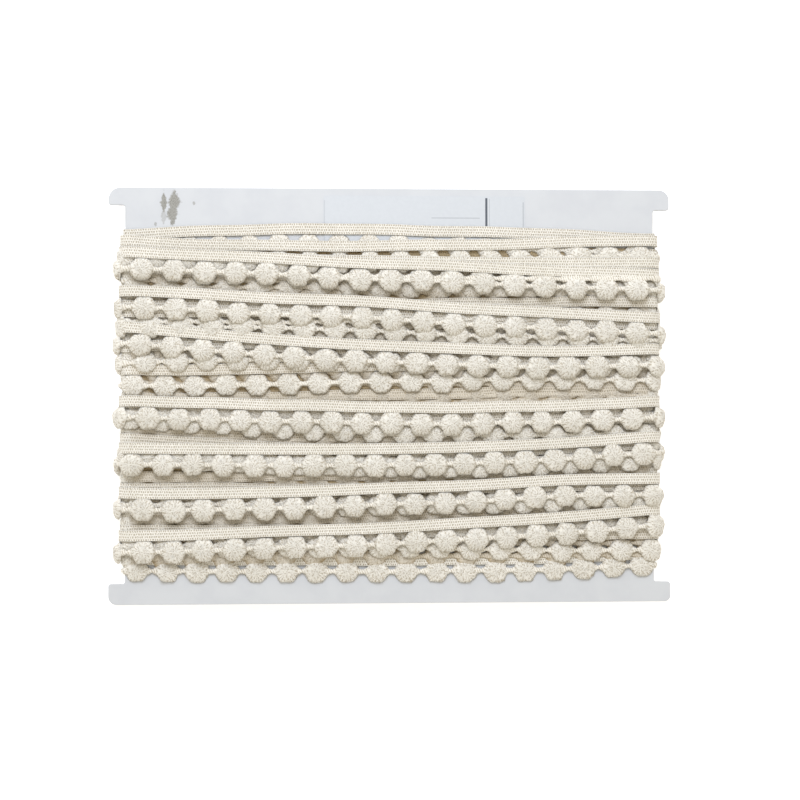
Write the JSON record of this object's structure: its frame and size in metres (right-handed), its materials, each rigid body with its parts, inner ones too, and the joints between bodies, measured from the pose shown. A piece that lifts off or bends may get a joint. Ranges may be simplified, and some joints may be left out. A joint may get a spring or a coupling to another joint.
{
  "type": "pompom fringe trim on a winding card",
  "caption": "Cotton ball fringe with a corded heading and linked domed balls, wound in crossing rows round a notched white paperboard card with a blank label.",
  "frame": {"origin": "centre of the card's outline, at the level of the surface that the winding's back rests on", "axes": "+X along the card's width, +Y up the card's face towards the label, +Z out of the face"},
  "size_m": [0.305, 0.225, 0.0249],
  "materials": {
    "board": "smooth white paperboard",
    "label_paper": "white paper sticker",
    "cotton": "natural cotton yarn, woven heading and wound balls"
  },
  "bodies": {
    "root": {"card": "board", "label": "label_paper", "winding_core": "cotton", "row_c": "cotton", "row_d": "cotton", "row_e": "cotton", "row_f": "cotton", "row_g": "cotton", "row_h": "cotton", "row_i": "cotton", "row_j": "cotton", "row_k": "cotton"}
  },
  "joints": []
}
